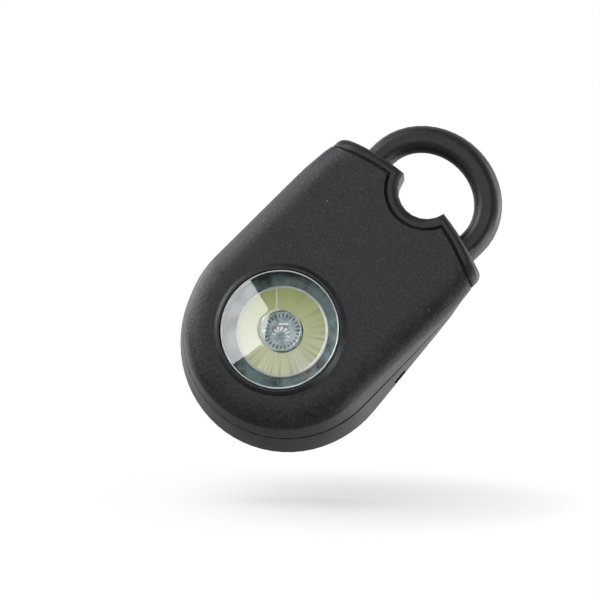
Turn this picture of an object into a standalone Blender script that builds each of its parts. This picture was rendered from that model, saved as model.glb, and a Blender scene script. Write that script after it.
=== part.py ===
"""Pull-apart personal alarm: a padlock-shaped siren with a light in its face.

The cap with the carrying loop pulls straight up off the body, lets the trigger plunger rise and so sets off
the siren. X is the width, -Y faces the viewer, +Z points to the loop. Pieces are drawn with the face in the
plane y = 0 and then moved so that the origin is at the bottom, in the middle of the depth. Lengths are metres,
written in millimetres times MM.
"""
import math

import bmesh
import bpy

MM = 0.001

# Clearances
FIT = 0.3 * MM
PARTING_GAP = 0.3 * MM
SEAM_GAP = 0.35 * MM

# Body: a front outline and a wider, more tapered back outline, each a round end with straight sides
FRONT_ARC = 20.55 * MM
FRONT_ARC_RISE = 1.1 * MM
FRONT_TOP_HALF = 21.05 * MM
BACK_ARC = 22.8 * MM
BACK_ARC_RISE = -0.3 * MM
BACK_TOP_HALF = 19.2 * MM
SIDE_LENGTH = 34.0 * MM
SHOULDER_LENGTH = 10.0 * MM
SHOULDER_DROP = 0.9 * MM
FRONT_EDGE_SIDE = 5.8 * MM
FRONT_EDGE_DEPTH = 2.6 * MM
BACK_EDGE_DEPTH = 13.5 * MM
BACK_SLOPE = 0.08
BACK_ROUND = 4.0 * MM
WALL = 1.6 * MM
FACE_WALL = 1.8 * MM
ROOF_WALL = 1.5 * MM
PARTING_DEPTH = 7.4 * MM
PARTING_STEP = 0.35 * MM

# Arched seam between the body and the cap, with the finger scoop in its middle
SEAM_ARC = 43.9 * MM
SEAM_APEX = 37.75 * MM
SCOOP_ARC = 8.25 * MM
SCOOP_CENTRE = 40.3 * MM
SEAM_CHAMFER = 0.3 * MM
SEAM_CHAMFER_DEPTH = 1.2 * MM
CAP_TOP_ARC = 54.0 * MM
CAP_RISE = 1.86 * MM
CAP_SCOOP_BAND = 2.4 * MM
CAP_ROUND = 1.3 * MM
CAP_SETBACK = 0.25 * MM
CAP_CORNER = 0.5 * MM
CAP_STRAIGHT_SHARE = 0.3
SCOOP_FLARE_SHARE = 0.7

# Carrying loop and the two prongs under the cap
LOOP_HALF_WIDTH = 12.85 * MM
LOOP_RISE = 11.2 * MM
LOOP_BASE = 39.7 * MM
LOOP_ROD = 5.62 * MM
LOOP_DEPTH = 7.75 * MM
PRONG_DIAMETER = 3.4 * MM
PRONG_LENGTH = 8.5 * MM

# Light: lens, ring, LED board and the LED on it
LENS_RADIUS = 11.8 * MM
LENS_PROUD = 0.8 * MM
LENS_DISH = 0.5 * MM
LENS_PIT_RADIUS = 4.2 * MM
LENS_PIT_DEPTH = 1.4 * MM
LENS_CHAMFER = 0.2 * MM
LENS_FLANGE = 1.4 * MM
LENS_FLANGE_THICK = 1.0 * MM
LIP_WIDTH = 1.2 * MM
LIP_TOP_WIDTH = 0.4 * MM
SPACER_WALL = 1.3 * MM
SPACER_LENGTH = 1.2 * MM
LED_BOARD_THICK = 0.8 * MM
DAM_RADIUS = 9.4 * MM
DAM_WALL = 0.7 * MM
DAM_HEIGHT = 0.6 * MM
PHOSPHOR_HEIGHT = 0.5 * MM
CUP_RADIUS = 4.1 * MM
CUP_HEIGHT = 1.0 * MM
CUP_FLOOR = 0.4 * MM
CUP_RIM = 0.3 * MM
DOME_RADIUS = 1.5 * MM
LED_PIN_DIAMETER = 1.0 * MM
LED_PIN_HALF_SPACING = 6.0 * MM
LED_PIN_LENGTH = 2.3 * MM

# Main board and what sits on it
BOARD_RADIUS = 17.8 * MM
BOARD_THICK = 1.0 * MM
POST_HALF_SPACING = 15.6 * MM
POST_DROP = 3.0 * MM
POST_DIAMETER = 4.2 * MM
SCREW_SHANK = 1.7 * MM
SCREW_HEAD = 3.8 * MM
SCREW_HEAD_HEIGHT = 1.1 * MM
SCREW_LENGTH = 5.2 * MM
SCREW_SLOT = 0.6 * MM
CHIP_SIZE = (5.0 * MM, 1.5 * MM, 4.0 * MM)
CHIP_PLACE = (-6.5 * MM, -10.0 * MM)
DRUM_RADIUS = 4.0 * MM
DRUM_WAIST = 3.0 * MM
DRUM_FLANGE = 0.7 * MM
DRUM_HEIGHT = 2.6 * MM
DRUM_PLACE = (6.5 * MM, -6.0 * MM)
CAN_RADIUS = 2.5 * MM
CAN_HEIGHT = 2.6 * MM
CAN_NECK = 0.25 * MM
CAN_PLACE = (-7.5 * MM, -1.5 * MM)

# Coin cells, carrier ring and contacts
CELL_RADIUS = 10.0 * MM
CELL_THICK = 3.2 * MM
CELL_CAN_ROUND = 0.3 * MM
CELL_TOP_CLEAR = 0.75 * MM
CARRIER_WALL = 0.9 * MM
CARRIER_LENGTH = 6.5 * MM
CARRIER_POST_DIAMETER = 2.2 * MM
CARRIER_POST_ANGLES = (30.0, 150.0, 200.0, 340.0)
CONTACT_THICK = 0.3 * MM
CONTACT_PAD_HALF = 3.0 * MM
CONTACT_PAD_BELOW = 3.6 * MM
CONTACT_PAD_ABOVE = 6.4 * MM
CONTACT_ARM_BELOW = 0.1 * MM
CONTACT_ARM_WIDTH = 1.2 * MM
CONTACT_TAIL_CLEAR = 1.0 * MM
LEAD_DIAMETER = 0.9 * MM

# Trigger switch under the left prong
SWITCH_SIDE = 5.2 * MM
SWITCH_CLEAR = 0.4 * MM
SWITCH_HEIGHT = 4.2 * MM
PLUNGER_DIAMETER = 3.2 * MM
PLUNGER_LENGTH = 3.8 * MM
PLUNGER_SEAT = 1.5 * MM
SHELF_THICK = 1.3 * MM

# Siren: piezo plate in the back shell, behind the sound holes
PIEZO_CENTRE = -6.0 * MM
PIEZO_RADIUS = 12.4 * MM
PIEZO_THICK = 0.3 * MM
PIEZO_DEPTH = 13.5 * MM
CERAMIC_RADIUS = 9.7 * MM
CERAMIC_THICK = 0.3 * MM
FOAM_WALL = 1.2 * MM
FOAM_THICK = 0.3 * MM
SOUND_HOLE = 1.7 * MM
SOUND_RING_RADII = (0.0, 3.6 * MM, 7.2 * MM)
SOUND_RING_COUNTS = (1, 6, 12)

# Side slot in the back shell, on the right
SLOT_LENGTH = 3.2 * MM
SLOT_WIDTH = 1.4 * MM
SLOT_HEIGHT = 10.7 * MM
SLOT_DEPTH = 11.6 * MM

# Wires: two from the main board to the siren and two to the switch
WIRE_DIAMETER = 0.9 * MM
WIRE_PAD_DROP = 2.0 * MM
WIRE_LIFT = 1.0 * MM
WIRE_ARCH = 0.9 * MM
SIREN_WIRE_BOW = 0.4 * MM
RED_WIRE_X = -2.0 * MM
RED_WIRE_INSET = 3.0 * MM
RED_WIRE_FALL = 3.2 * MM
BLACK_WIRE_X = 4.5 * MM
BLACK_WIRE_INSET = 0.3 * MM
BLACK_WIRE_FALL = 0.5 * MM
SWITCH_WIRE_OFFSETS = {"inner": -0.3 * MM, "outer": -1.9 * MM}
SWITCH_WIRE_FALL = 3.0 * MM
SWITCH_WIRE_BOW = 0.4 * MM

# Drawing aids and smoothness
AXIS_MARK = 5.0 * MM
SHARP_ANGLE = math.radians(35.0)
ARC_STEPS = 18
SIDE_STEPS = 9
ROUND_STEPS = 5
LOOP_STEPS = 24
TURN_STEPS = 32
SMALL_TURN_STEPS = 16
TINY_TURN_STEPS = 12
SEAM_STEPS = 10

# Places that follow from the sizes above; depths count back from the face
LENS_Z = BACK_ARC - BACK_ARC_RISE
SIDE_TOP = LENS_Z + SIDE_LENGTH
BLANK_TOP = SIDE_TOP + 3.0 * BACK_ROUND
BLANK_BACK = BACK_EDGE_DEPTH + 3.0 * BACK_ROUND
SEAM_CENTRE_Z = LENS_Z + SEAM_APEX - SEAM_ARC
SCOOP_Z = LENS_Z + SCOOP_CENTRE
LENS_HOLE = LENS_RADIUS + FIT
FLANGE_RADIUS = LENS_RADIUS + LENS_FLANGE
FLANGE_FRONT = FACE_WALL + FIT
LENS_BACK = FLANGE_FRONT + LENS_FLANGE_THICK
SPACER_FRONT = LENS_BACK + FIT
LED_BOARD_FRONT = SPACER_FRONT + SPACER_LENGTH + FIT
LED_BOARD_BACK = LED_BOARD_FRONT + LED_BOARD_THICK
LED_PARTS_BACK = LED_BOARD_FRONT - FIT
LED_PIN_FRONT = LED_BOARD_BACK + FIT
BOARD_FRONT = LED_PIN_FRONT + LED_PIN_LENGTH + FIT
BOARD_BACK = BOARD_FRONT + BOARD_THICK
ON_BOARD = BOARD_BACK + FIT
POST_Z = LENS_Z - POST_DROP
CELL_FRONT = LED_BOARD_BACK + FIT
CELL_MIDDLE = CELL_FRONT + CELL_THICK + FIT
CELLS_BACK = CELL_MIDDLE + CELL_THICK
CARRIER_INNER = CELL_RADIUS + FIT
CARRIER_OUTER = CARRIER_INNER + CARRIER_WALL
CELL_CENTRE = SCOOP_CENTRE - SCOOP_ARC - ROOF_WALL - CELL_TOP_CLEAR - CARRIER_OUTER
CELL_Z = LENS_Z + CELL_CENTRE
CARRIER_BACK = CELL_FRONT + CARRIER_LENGTH
BOARD_TOP = CELL_CENTRE - CARRIER_OUTER - 2.0 * FIT
CONTACT_TAIL_LOW = BOARD_TOP - CONTACT_ARM_WIDTH
NEGATIVE_BACK = CELL_FRONT - FIT
POSITIVE_FRONT = CELLS_BACK + FIT
CONTACT_PAD_MIDDLE = CELL_Z + (CONTACT_PAD_ABOVE - CONTACT_PAD_BELOW) / 2.0
CONTACT_TAIL_REACH = CARRIER_OUTER + CONTACT_TAIL_CLEAR + CONTACT_ARM_WIDTH
PIEZO_Z = LENS_Z + PIEZO_CENTRE
FOAM_FRONT = PIEZO_DEPTH + PIEZO_THICK + FIT
LEDGE_FRONT = FOAM_FRONT + FOAM_THICK + FIT
PRONG_X = CARRIER_OUTER + SWITCH_CLEAR + SWITCH_SIDE / 2.0


def clear_scene():
    for item in list(bpy.data.objects):
        bpy.data.objects.remove(item, do_unlink=True)


def new_collection(name):
    group = bpy.data.collections.new(name)
    bpy.context.scene.collection.children.link(group)
    return group


def plastic(name, colour, roughness=0.5, metallic=0.0, transmission=0.0):
    """A plain surface in one colour."""
    made = bpy.data.materials.new(name)
    made.use_nodes = True
    shader = made.node_tree.nodes["Principled BSDF"]
    shader.inputs["Base Color"].default_value = (*colour, 1.0)
    shader.inputs["Roughness"].default_value = roughness
    shader.inputs["Metallic"].default_value = metallic
    shader.inputs["Transmission Weight"].default_value = transmission
    made.diffuse_color = (*colour, 1.0)
    return made


def finish(item, group, material=None, smooth=True):
    """Put an object in its collection; without a material it is a cutter."""
    for owner in list(item.users_collection):
        owner.objects.unlink(item)
    group.objects.link(item)
    if material is None:
        item.hide_render = True
        item.display_type = "WIRE"
        return item
    item.data.materials.clear()
    item.data.materials.append(material)
    if smooth and isinstance(item.data, bpy.types.Mesh):
        item.data.shade_smooth()
        item.data.set_sharp_from_angle(angle=SHARP_ANGLE)
    return item


def mesh_object(name, build):
    """An object whose mesh is filled in by build(bm)."""
    mesh = bpy.data.meshes.new(name)
    bm = bmesh.new()
    build(bm)
    bmesh.ops.recalc_face_normals(bm, faces=bm.faces[:])
    bm.to_mesh(mesh)
    bm.free()
    item = bpy.data.objects.new(name, mesh)
    bpy.context.scene.collection.objects.link(item)
    return item


def boolean(item, operation, others, cutters):
    """Join or cut away a set of shapes that are clear of each other, in one step."""
    group = bpy.data.collections.new(f"{item.name} {operation.lower()} {len(item.modifiers)}")
    cutters.children.link(group)
    for other in others:
        finish(other, group)
    step = item.modifiers.new(group.name, "BOOLEAN")
    step.operation = operation
    step.operand_type = "COLLECTION"
    step.collection = group
    step.solver = "EXACT"


def box(name, low, high):
    """A box between two corners."""
    size = [b - a for a, b in zip(low, high)]
    middle = [(a + b) / 2.0 for a, b in zip(low, high)]

    def build(bm):
        bmesh.ops.create_cube(bm, size=1.0)
        bmesh.ops.scale(bm, vec=size, verts=bm.verts)

    item = mesh_object(name, build)
    item.location = middle
    return item


def rod(name, x, z, front, back, diameter, steps=SMALL_TURN_STEPS):
    """A round bar along Y between two depths."""

    def build(bm):
        bmesh.ops.create_cone(bm, cap_ends=True, segments=steps, radius1=diameter / 2.0,
                              radius2=diameter / 2.0, depth=back - front)

    item = mesh_object(name, build)
    item.rotation_euler = (math.pi / 2.0, 0.0, 0.0)
    item.location = (x, (front + back) / 2.0, z)
    return item


def upright_rod(name, x, y, low, high, diameter, steps=SMALL_TURN_STEPS):
    """A round bar along Z between two heights, with its origin at its foot."""

    def build(bm):
        bmesh.ops.create_cone(bm, cap_ends=True, segments=steps, radius1=diameter / 2.0,
                              radius2=diameter / 2.0, depth=high - low)
        bmesh.ops.translate(bm, vec=(0.0, 0.0, (high - low) / 2.0), verts=bm.verts)

    item = mesh_object(name, build)
    item.location = (x, y, low)
    return item


def turned(name, x, z, profile, closed=True, steps=TURN_STEPS):
    """A turned piece round an axis along Y; the profile lists (radius, depth)."""
    mesh = bpy.data.meshes.new(name)
    count = len(profile)
    edges = [(i, i + 1) for i in range(count - 1)]
    if closed:
        edges.append((count - 1, 0))
    mesh.from_pydata([(radius, depth, 0.0) for radius, depth in profile], edges, [])
    item = bpy.data.objects.new(name, mesh)
    bpy.context.scene.collection.objects.link(item)
    item.location = (x, 0.0, z)
    spin = item.modifiers.new("turn", "SCREW")
    spin.axis = "Y"
    spin.angle = math.tau
    spin.steps = steps
    spin.render_steps = steps
    spin.use_merge_vertices = True
    spin.merge_threshold = 0.01 * MM
    spin.use_normal_flip = True
    spin.use_smooth_shade = True
    return item


def ring(name, x, z, inner, outer, front, back, steps=TURN_STEPS):
    """A plain ring round an axis along Y."""
    profile = [(outer, front), (outer, back), (inner, back), (inner, front)]
    return turned(name, x, z, profile, steps=steps)


def prism(name, outline, front, back):
    """A flat outline in X and Z, carried along Y between two depths."""

    def build(bm):
        face = bm.faces.new([bm.verts.new((x, front, z)) for x, z in outline])
        made = bmesh.ops.extrude_face_region(bm, geom=[face])
        moved = [part for part in made["geom"] if isinstance(part, bmesh.types.BMVert)]
        bmesh.ops.translate(bm, vec=(0.0, back - front, 0.0), verts=moved)

    return mesh_object(name, build)


def flat_plate(name, outlines, front, back):
    """A plate from a flat curve; the outlines after the first are its holes."""
    curve = bpy.data.curves.new(name, "CURVE")
    curve.dimensions = "2D"
    curve.fill_mode = "BOTH"
    curve.extrude = (back - front) / 2.0
    for outline in outlines:
        spline = curve.splines.new("POLY")
        spline.points.add(len(outline) - 1)
        for point, (x, z) in zip(spline.points, outline):
            point.co = (x, z, 0.0, 1.0)
        spline.use_cyclic_u = True
    item = bpy.data.objects.new(name, curve)
    bpy.context.scene.collection.objects.link(item)
    item.rotation_euler = (math.pi / 2.0, 0.0, 0.0)
    item.location = (0.0, (front + back) / 2.0, 0.0)
    weld = item.modifiers.new("close the caps", "WELD")
    weld.merge_threshold = 0.001 * MM
    return item


def swept(name, points, diameter, steps=3):
    """A wire or rod along smooth points."""
    curve = bpy.data.curves.new(name, "CURVE")
    curve.dimensions = "3D"
    curve.bevel_depth = diameter / 2.0
    curve.bevel_resolution = 2
    curve.resolution_u = steps
    curve.use_fill_caps = True
    spline = curve.splines.new("BEZIER")
    spline.bezier_points.add(len(points) - 1)
    for knot, place in zip(spline.bezier_points, points):
        knot.co = place
        knot.handle_left_type = "AUTO"
        knot.handle_right_type = "AUTO"
    item = bpy.data.objects.new(name, curve)
    bpy.context.scene.collection.objects.link(item)
    weld = item.modifiers.new("close the caps", "WELD")
    weld.merge_threshold = 0.001 * MM
    return item


def circle(x, z, radius, steps=SMALL_TURN_STEPS):
    turn = [math.tau * i / steps for i in range(steps)]
    return [(x + radius * math.cos(a), z + radius * math.sin(a)) for a in turn]


class Outline:
    """A round end of the body with a straight side that touches it and runs up to the top."""

    def __init__(self, arc, rise, top_half):
        self.arc = arc
        self.centre = LENS_Z + rise
        reach = math.hypot(top_half, SIDE_TOP - self.centre)
        lean = math.atan2(SIDE_TOP - self.centre, top_half)
        self.turn = lean - math.acos(arc / reach)

    def half_width(self, z, inset=0.0):
        """Half the width at a height on the sides, which draw in a little at the shoulder."""
        straight = (self.arc - inset - (z - self.centre) * math.sin(self.turn)) / math.cos(self.turn)
        share = max(0.0, 1.0 - (SIDE_TOP - z) / SHOULDER_LENGTH)
        return straight - SHOULDER_DROP * share ** 2

    def points(self, inset):
        """Points from the upper right, round the bottom, to the upper left."""
        arc = self.arc - inset
        side_low = self.centre + arc * math.sin(self.turn)
        right = []
        for i in range(SIDE_STEPS):
            z = BLANK_TOP + (side_low - BLANK_TOP) * i / SIDE_STEPS
            right.append((self.half_width(z, inset), z))
        for i in range(ARC_STEPS):
            angle = self.turn + (-math.pi / 2.0 - self.turn) * i / ARC_STEPS
            right.append((arc * math.cos(angle), self.centre + arc * math.sin(angle)))
        left = [(-x, z) for x, z in reversed(right)]
        return right + [(0.0, self.centre - arc)] + left


FRONT = Outline(FRONT_ARC, FRONT_ARC_RISE, FRONT_TOP_HALF)
BACK = Outline(BACK_ARC, BACK_ARC_RISE, BACK_TOP_HALF)


def back_edge(z):
    """Depth of the body's widest line at a height."""
    return BACK_EDGE_DEPTH - BACK_SLOPE * (z - LENS_Z)


MIDDLE_DEPTH = (back_edge(BACK_ROUND) + BACK_ROUND - LENS_PROUD) / 2.0


def inner_back(z):
    """Depth of the back wall's inner face at a height."""
    return back_edge(z) + BACK_ROUND - WALL


def front_rings(wall, face_wall):
    """Rings of the body's rounded front edge, moved inwards by the wall."""
    rings = []
    for i in range(ROUND_STEPS + 1):
        angle = math.pi / 2.0 * i / ROUND_STEPS
        inset = FRONT_EDGE_SIDE * (1.0 - math.sin(angle)) + wall * math.sin(angle)
        depth = FRONT_EDGE_DEPTH * (1.0 - math.cos(angle)) + face_wall * math.cos(angle)
        rings.append([(x, depth, z) for x, z in FRONT.points(inset)])
    return rings


def flank_ring(wall, depth):
    """The ring of the body's side at one depth, between the front outline and the back outline."""
    made = []
    for (x1, z1), (x2, z2) in zip(FRONT.points(wall), BACK.points(wall)):
        share = (depth - FRONT_EDGE_DEPTH) / (back_edge(z2) - FRONT_EDGE_DEPTH)
        made.append((x1 + (x2 - x1) * share, depth, z1 + (z2 - z1) * share))
    return made


def back_rings(wall):
    """Rings of the body's rounded back edge, moved inwards by the wall."""
    rings = []
    for i in range(ROUND_STEPS + 1):
        angle = math.pi / 2.0 * i / ROUND_STEPS
        inset = BACK_ROUND * (1.0 - math.cos(angle)) + wall * math.cos(angle)
        extra = (BACK_ROUND - wall) * math.sin(angle)
        rings.append([(x, back_edge(z) + extra, z) for x, z in BACK.points(inset)])
    return rings


def loft(name, rings):
    """A closed skin over rings of equal count."""

    def build(bm):
        rows = [[bm.verts.new(place) for place in one] for one in rings]
        count = len(rows[0])
        for one, two in zip(rows, rows[1:]):
            for i in range(count):
                j = (i + 1) % count
                bm.faces.new((one[i], one[j], two[j], two[i]))
        bmesh.ops.triangulate(bm, faces=bm.faces[:], quad_method="BEAUTY")
        bm.faces.new(rows[0])
        bm.faces.new(rows[-1])

    return mesh_object(name, build)


def seam_curve(arch, apex, scoop, half):
    """Arch, scoop and arch from left to right, as far out as the half width."""
    centre = LENS_Z + apex - arch
    apart = SCOOP_Z - centre
    corner_up = (arch ** 2 - scoop ** 2 + apart ** 2) / (2.0 * apart)
    corner_x = math.sqrt(arch ** 2 - corner_up ** 2)
    corner_angle = math.atan2(corner_up - apart, corner_x)
    side = []
    for i in range(SEAM_STEPS):
        x = half + (corner_x - half) * (1.0 - math.cos(math.pi / 2.0 * i / SEAM_STEPS))
        side.append((x, centre + math.sqrt(arch ** 2 - x ** 2)))
    dip = []
    sweep = math.pi + 2.0 * corner_angle
    for i in range(SEAM_STEPS + 1):
        angle = math.pi - corner_angle + sweep * i / SEAM_STEPS
        dip.append((scoop * math.cos(angle), SCOOP_Z + scoop * math.sin(angle)))
    return [(-x, z) for x, z in side] + dip + side[::-1]


def above_seam(name, drops):
    """Everything above the seam, lowered at each depth by the drop given for it."""
    half = FRONT_ARC + 3.0 * BACK_ROUND
    top = BLANK_TOP + BACK_ROUND
    rings = []
    for depth, drop in drops:
        line = seam_curve(SEAM_ARC - drop, SEAM_APEX - drop, SCOOP_ARC + drop, half)
        rings.append([(x, depth, z) for x, z in line + [(half, top), (-half, top)]])
    return loft(name, rings)


def edge_depth(inset, reach, depth):
    """How far a rounded edge falls back where it is inset from the outline."""
    share = max(0.0, 1.0 - inset / reach)
    return depth * (1.0 - math.sqrt(max(0.0, 1.0 - share ** 2)))


def cap_level(share, shrink):
    """One level of the cap: its front line and its back line, stations from left to right."""
    arch = SEAM_ARC + SEAM_GAP + (CAP_TOP_ARC - SEAM_ARC - SEAM_GAP) * share
    apex = SEAM_APEX + SEAM_GAP + (CAP_RISE - SEAM_GAP) * share
    band = (CAP_SCOOP_BAND - SEAM_GAP) * share
    scoop = SCOOP_ARC - SEAM_GAP - band
    flared = scoop + band * SCOOP_FLARE_SHARE
    low = SEAM_CENTRE_Z + math.sqrt(SEAM_ARC ** 2 - FRONT_TOP_HALF ** 2)
    front_half = FRONT.half_width(low) - CAP_SETBACK - shrink
    back_half = BACK.half_width(low) - CAP_SETBACK - shrink
    front = []
    for x, z in seam_curve(arch, apex, scoop, front_half):
        fall = edge_depth(front_half - abs(x), FRONT_EDGE_SIDE, FRONT_EDGE_DEPTH)
        front.append((x, CAP_SETBACK + shrink + fall, z))
    back = []
    for x, z in seam_curve(arch, apex, flared, back_half):
        fall = edge_depth(back_half - abs(x) + CAP_CORNER, BACK_ROUND, BACK_ROUND)
        back.append((x, back_edge(z) + BACK_ROUND - CAP_SETBACK - shrink - fall, z))
    return front, back


def cap_band(name):
    """The cap itself, from the seam up, with its upper edges rounded."""
    levels = [cap_level(0.0, 0.0)]
    for i in range(ROUND_STEPS + 1):
        angle = math.pi / 2.0 * i / ROUND_STEPS
        share = CAP_STRAIGHT_SHARE + (1.0 - CAP_STRAIGHT_SHARE) * math.sin(angle)
        levels.append(cap_level(share, CAP_ROUND * (1.0 - math.cos(angle))))

    def build(bm):
        rows = []
        for front, back in levels:
            rows.append(([bm.verts.new(p) for p in front], [bm.verts.new(p) for p in back]))
        for (front1, back1), (front2, back2) in zip(rows, rows[1:]):
            loop1 = front1 + back1[::-1]
            loop2 = front2 + back2[::-1]
            for i in range(len(loop1)):
                j = (i + 1) % len(loop1)
                bm.faces.new((loop1[i], loop1[j], loop2[j], loop2[i]))
        bmesh.ops.triangulate(bm, faces=bm.faces[:], quad_method="BEAUTY")
        for front, back in (rows[0], rows[-1]):
            middle = len(front) // 2
            for i in range(len(front) - 1):
                apex = back[i] if i < middle else back[i + 1]
                bm.faces.new((front[i], front[i + 1], apex))
                apex = front[i + 1] if i < middle else front[i]
                bm.faces.new((back[i], back[i + 1], apex))

    return mesh_object(name, build)


def loop_mesh(name):
    """The carrying loop: a half oval on two straight legs that run down into the cap."""
    foot = SEAM_CENTRE_Z + math.sqrt(SEAM_ARC ** 2 - LOOP_HALF_WIDTH ** 2) + 2.0 * SEAM_GAP
    base = LENS_Z + LOOP_BASE
    points = [(LOOP_HALF_WIDTH, LOOP_DEPTH, foot)]
    for i in range(LOOP_STEPS + 1):
        angle = math.pi * i / LOOP_STEPS
        x = LOOP_HALF_WIDTH * math.cos(angle)
        points.append((x, LOOP_DEPTH, base + LOOP_RISE * math.sin(angle)))
    points.append((-LOOP_HALF_WIDTH, LOOP_DEPTH, foot))
    curve = bpy.data.curves.new(name, "CURVE")
    curve.dimensions = "3D"
    curve.bevel_depth = LOOP_ROD / 2.0
    curve.bevel_resolution = 5
    curve.use_fill_caps = True
    spline = curve.splines.new("POLY")
    spline.points.add(len(points) - 1)
    for knot, place in zip(spline.points, points):
        knot.co = (*place, 1.0)
    guide = bpy.data.objects.new(f"{name} guide", curve)
    bpy.context.scene.collection.objects.link(guide)
    view = bpy.context.evaluated_depsgraph_get()
    mesh = bpy.data.meshes.new_from_object(guide.evaluated_get(view))
    bm = bmesh.new()
    bm.from_mesh(mesh)
    bmesh.ops.remove_doubles(bm, verts=bm.verts, dist=0.001 * MM)
    bmesh.ops.recalc_face_normals(bm, faces=bm.faces[:])
    bm.to_mesh(mesh)
    bm.free()
    bpy.data.objects.remove(guide, do_unlink=True)
    item = bpy.data.objects.new(name, mesh)
    bpy.context.scene.collection.objects.link(item)
    return item


def carrier_post_places():
    middle = (CARRIER_INNER + CARRIER_OUTER) / 2.0
    for degrees in CARRIER_POST_ANGLES:
        angle = math.radians(degrees)
        yield degrees, middle * math.cos(angle), CELL_Z + middle * math.sin(angle)


def shell_blank(name, rings, cutters):
    """One half of the body, cut off at the seam and hollowed out."""
    shell = loft(name, rings)
    chamfer = SEAM_CHAMFER * (1.0 + BACK_ROUND / SEAM_CHAMFER_DEPTH)
    drops = ((-BACK_ROUND, chamfer), (SEAM_CHAMFER_DEPTH, 0.0), (BLANK_BACK, 0.0))
    boolean(shell, "DIFFERENCE", [above_seam(f"{name} seam", drops)], cutters)
    hollow = loft(f"{name} hollow", front_rings(WALL, FACE_WALL) + [flank_ring(WALL, PARTING_DEPTH)]
                  + back_rings(WALL))
    drops = ((-BACK_ROUND, ROOF_WALL), (BLANK_BACK, ROOF_WALL))
    boolean(hollow, "DIFFERENCE", [above_seam(f"{name} roof line", drops)], cutters)
    boolean(shell, "DIFFERENCE", [hollow], cutters)
    return shell


def prong_holes(name):
    made = []
    for side, label in ((-1.0, "left"), (1.0, "right")):
        made.append(upright_rod(f"{name} {label} prong hole", side * PRONG_X, LOOP_DEPTH,
                                PRONG_LOW - FIT, BLANK_TOP - BACK_ROUND, PRONG_DIAMETER + 2.0 * FIT))
    return made


PRONG_TOP = SEAM_CENTRE_Z + math.sqrt((SEAM_ARC + SEAM_GAP) ** 2 - PRONG_X ** 2)
PRONG_LOW = PRONG_TOP - PRONG_LENGTH
PLUNGER_TOP = PRONG_LOW - FIT
PLUNGER_LOW = PLUNGER_TOP - PLUNGER_LENGTH
SWITCH_TOP = PLUNGER_LOW + PLUNGER_SEAT
SWITCH_LOW = SWITCH_TOP - SWITCH_HEIGHT


def front_shell(parts, cutters, black):
    """Front shell with the lens hole, its raised lip, the board posts and the switch shelf."""
    edge = PARTING_DEPTH - PARTING_GAP / 2.0
    flank = [flank_ring(0.0, edge - PARTING_STEP), flank_ring(PARTING_STEP, edge)]
    shell = shell_blank("front_shell", front_rings(0.0, 0.0) + flank, cutters)
    foot = FACE_WALL / 2.0
    foot_width = LIP_WIDTH + (LIP_WIDTH - LIP_TOP_WIDTH) * foot / LENS_PROUD
    lip_inner = LENS_HOLE - LIP_TOP_WIDTH
    lip = turned("lens lip", 0.0, LENS_Z, [
        (lip_inner, -LENS_PROUD), (LENS_HOLE + LIP_TOP_WIDTH, -LENS_PROUD),
        (LENS_HOLE + foot_width, foot), (lip_inner, foot)], steps=2 * TURN_STEPS)
    joined = [lip]
    pilots = []
    for side, label in ((-1.0, "left"), (1.0, "right")):
        x = side * POST_HALF_SPACING
        joined.append(rod(f"{label} board post", x, POST_Z, FACE_WALL / 2.0, BOARD_FRONT - FIT, POST_DIAMETER))
        pilots.append(rod(f"{label} pilot hole", x, POST_Z, BOARD_BACK - SCREW_LENGTH,
                          BOARD_BACK, SCREW_SHANK + 2.0 * FIT))
    for degrees, x, z in carrier_post_places():
        joined.append(rod(f"front carrier post {degrees:.0f}", x, z, FACE_WALL / 2.0, CELL_FRONT - FIT,
                          CARRIER_POST_DIAMETER))
    joined.append(rod("contact post", 0.0, CONTACT_PAD_MIDDLE, FACE_WALL / 2.0,
                      NEGATIVE_BACK - CONTACT_THICK - FIT, CARRIER_POST_DIAMETER))
    shelf_high = SWITCH_LOW - FIT
    joined.append(box("switch shelf",
                      (-PRONG_X - SWITCH_SIDE / 2.0, FACE_WALL / 2.0, shelf_high - SHELF_THICK),
                      (-PRONG_X + SWITCH_SIDE / 2.0, LOOP_DEPTH + SWITCH_SIDE / 2.0, shelf_high)))
    boolean(shell, "UNION", joined, cutters)
    hole = rod("lens hole", 0.0, LENS_Z, -2.0 * LENS_PROUD, FLANGE_FRONT, 2.0 * LENS_HOLE, 2 * TURN_STEPS)
    boolean(shell, "DIFFERENCE", pilots + prong_holes("front") + [hole], cutters)
    return finish(shell, parts, black)


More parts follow.
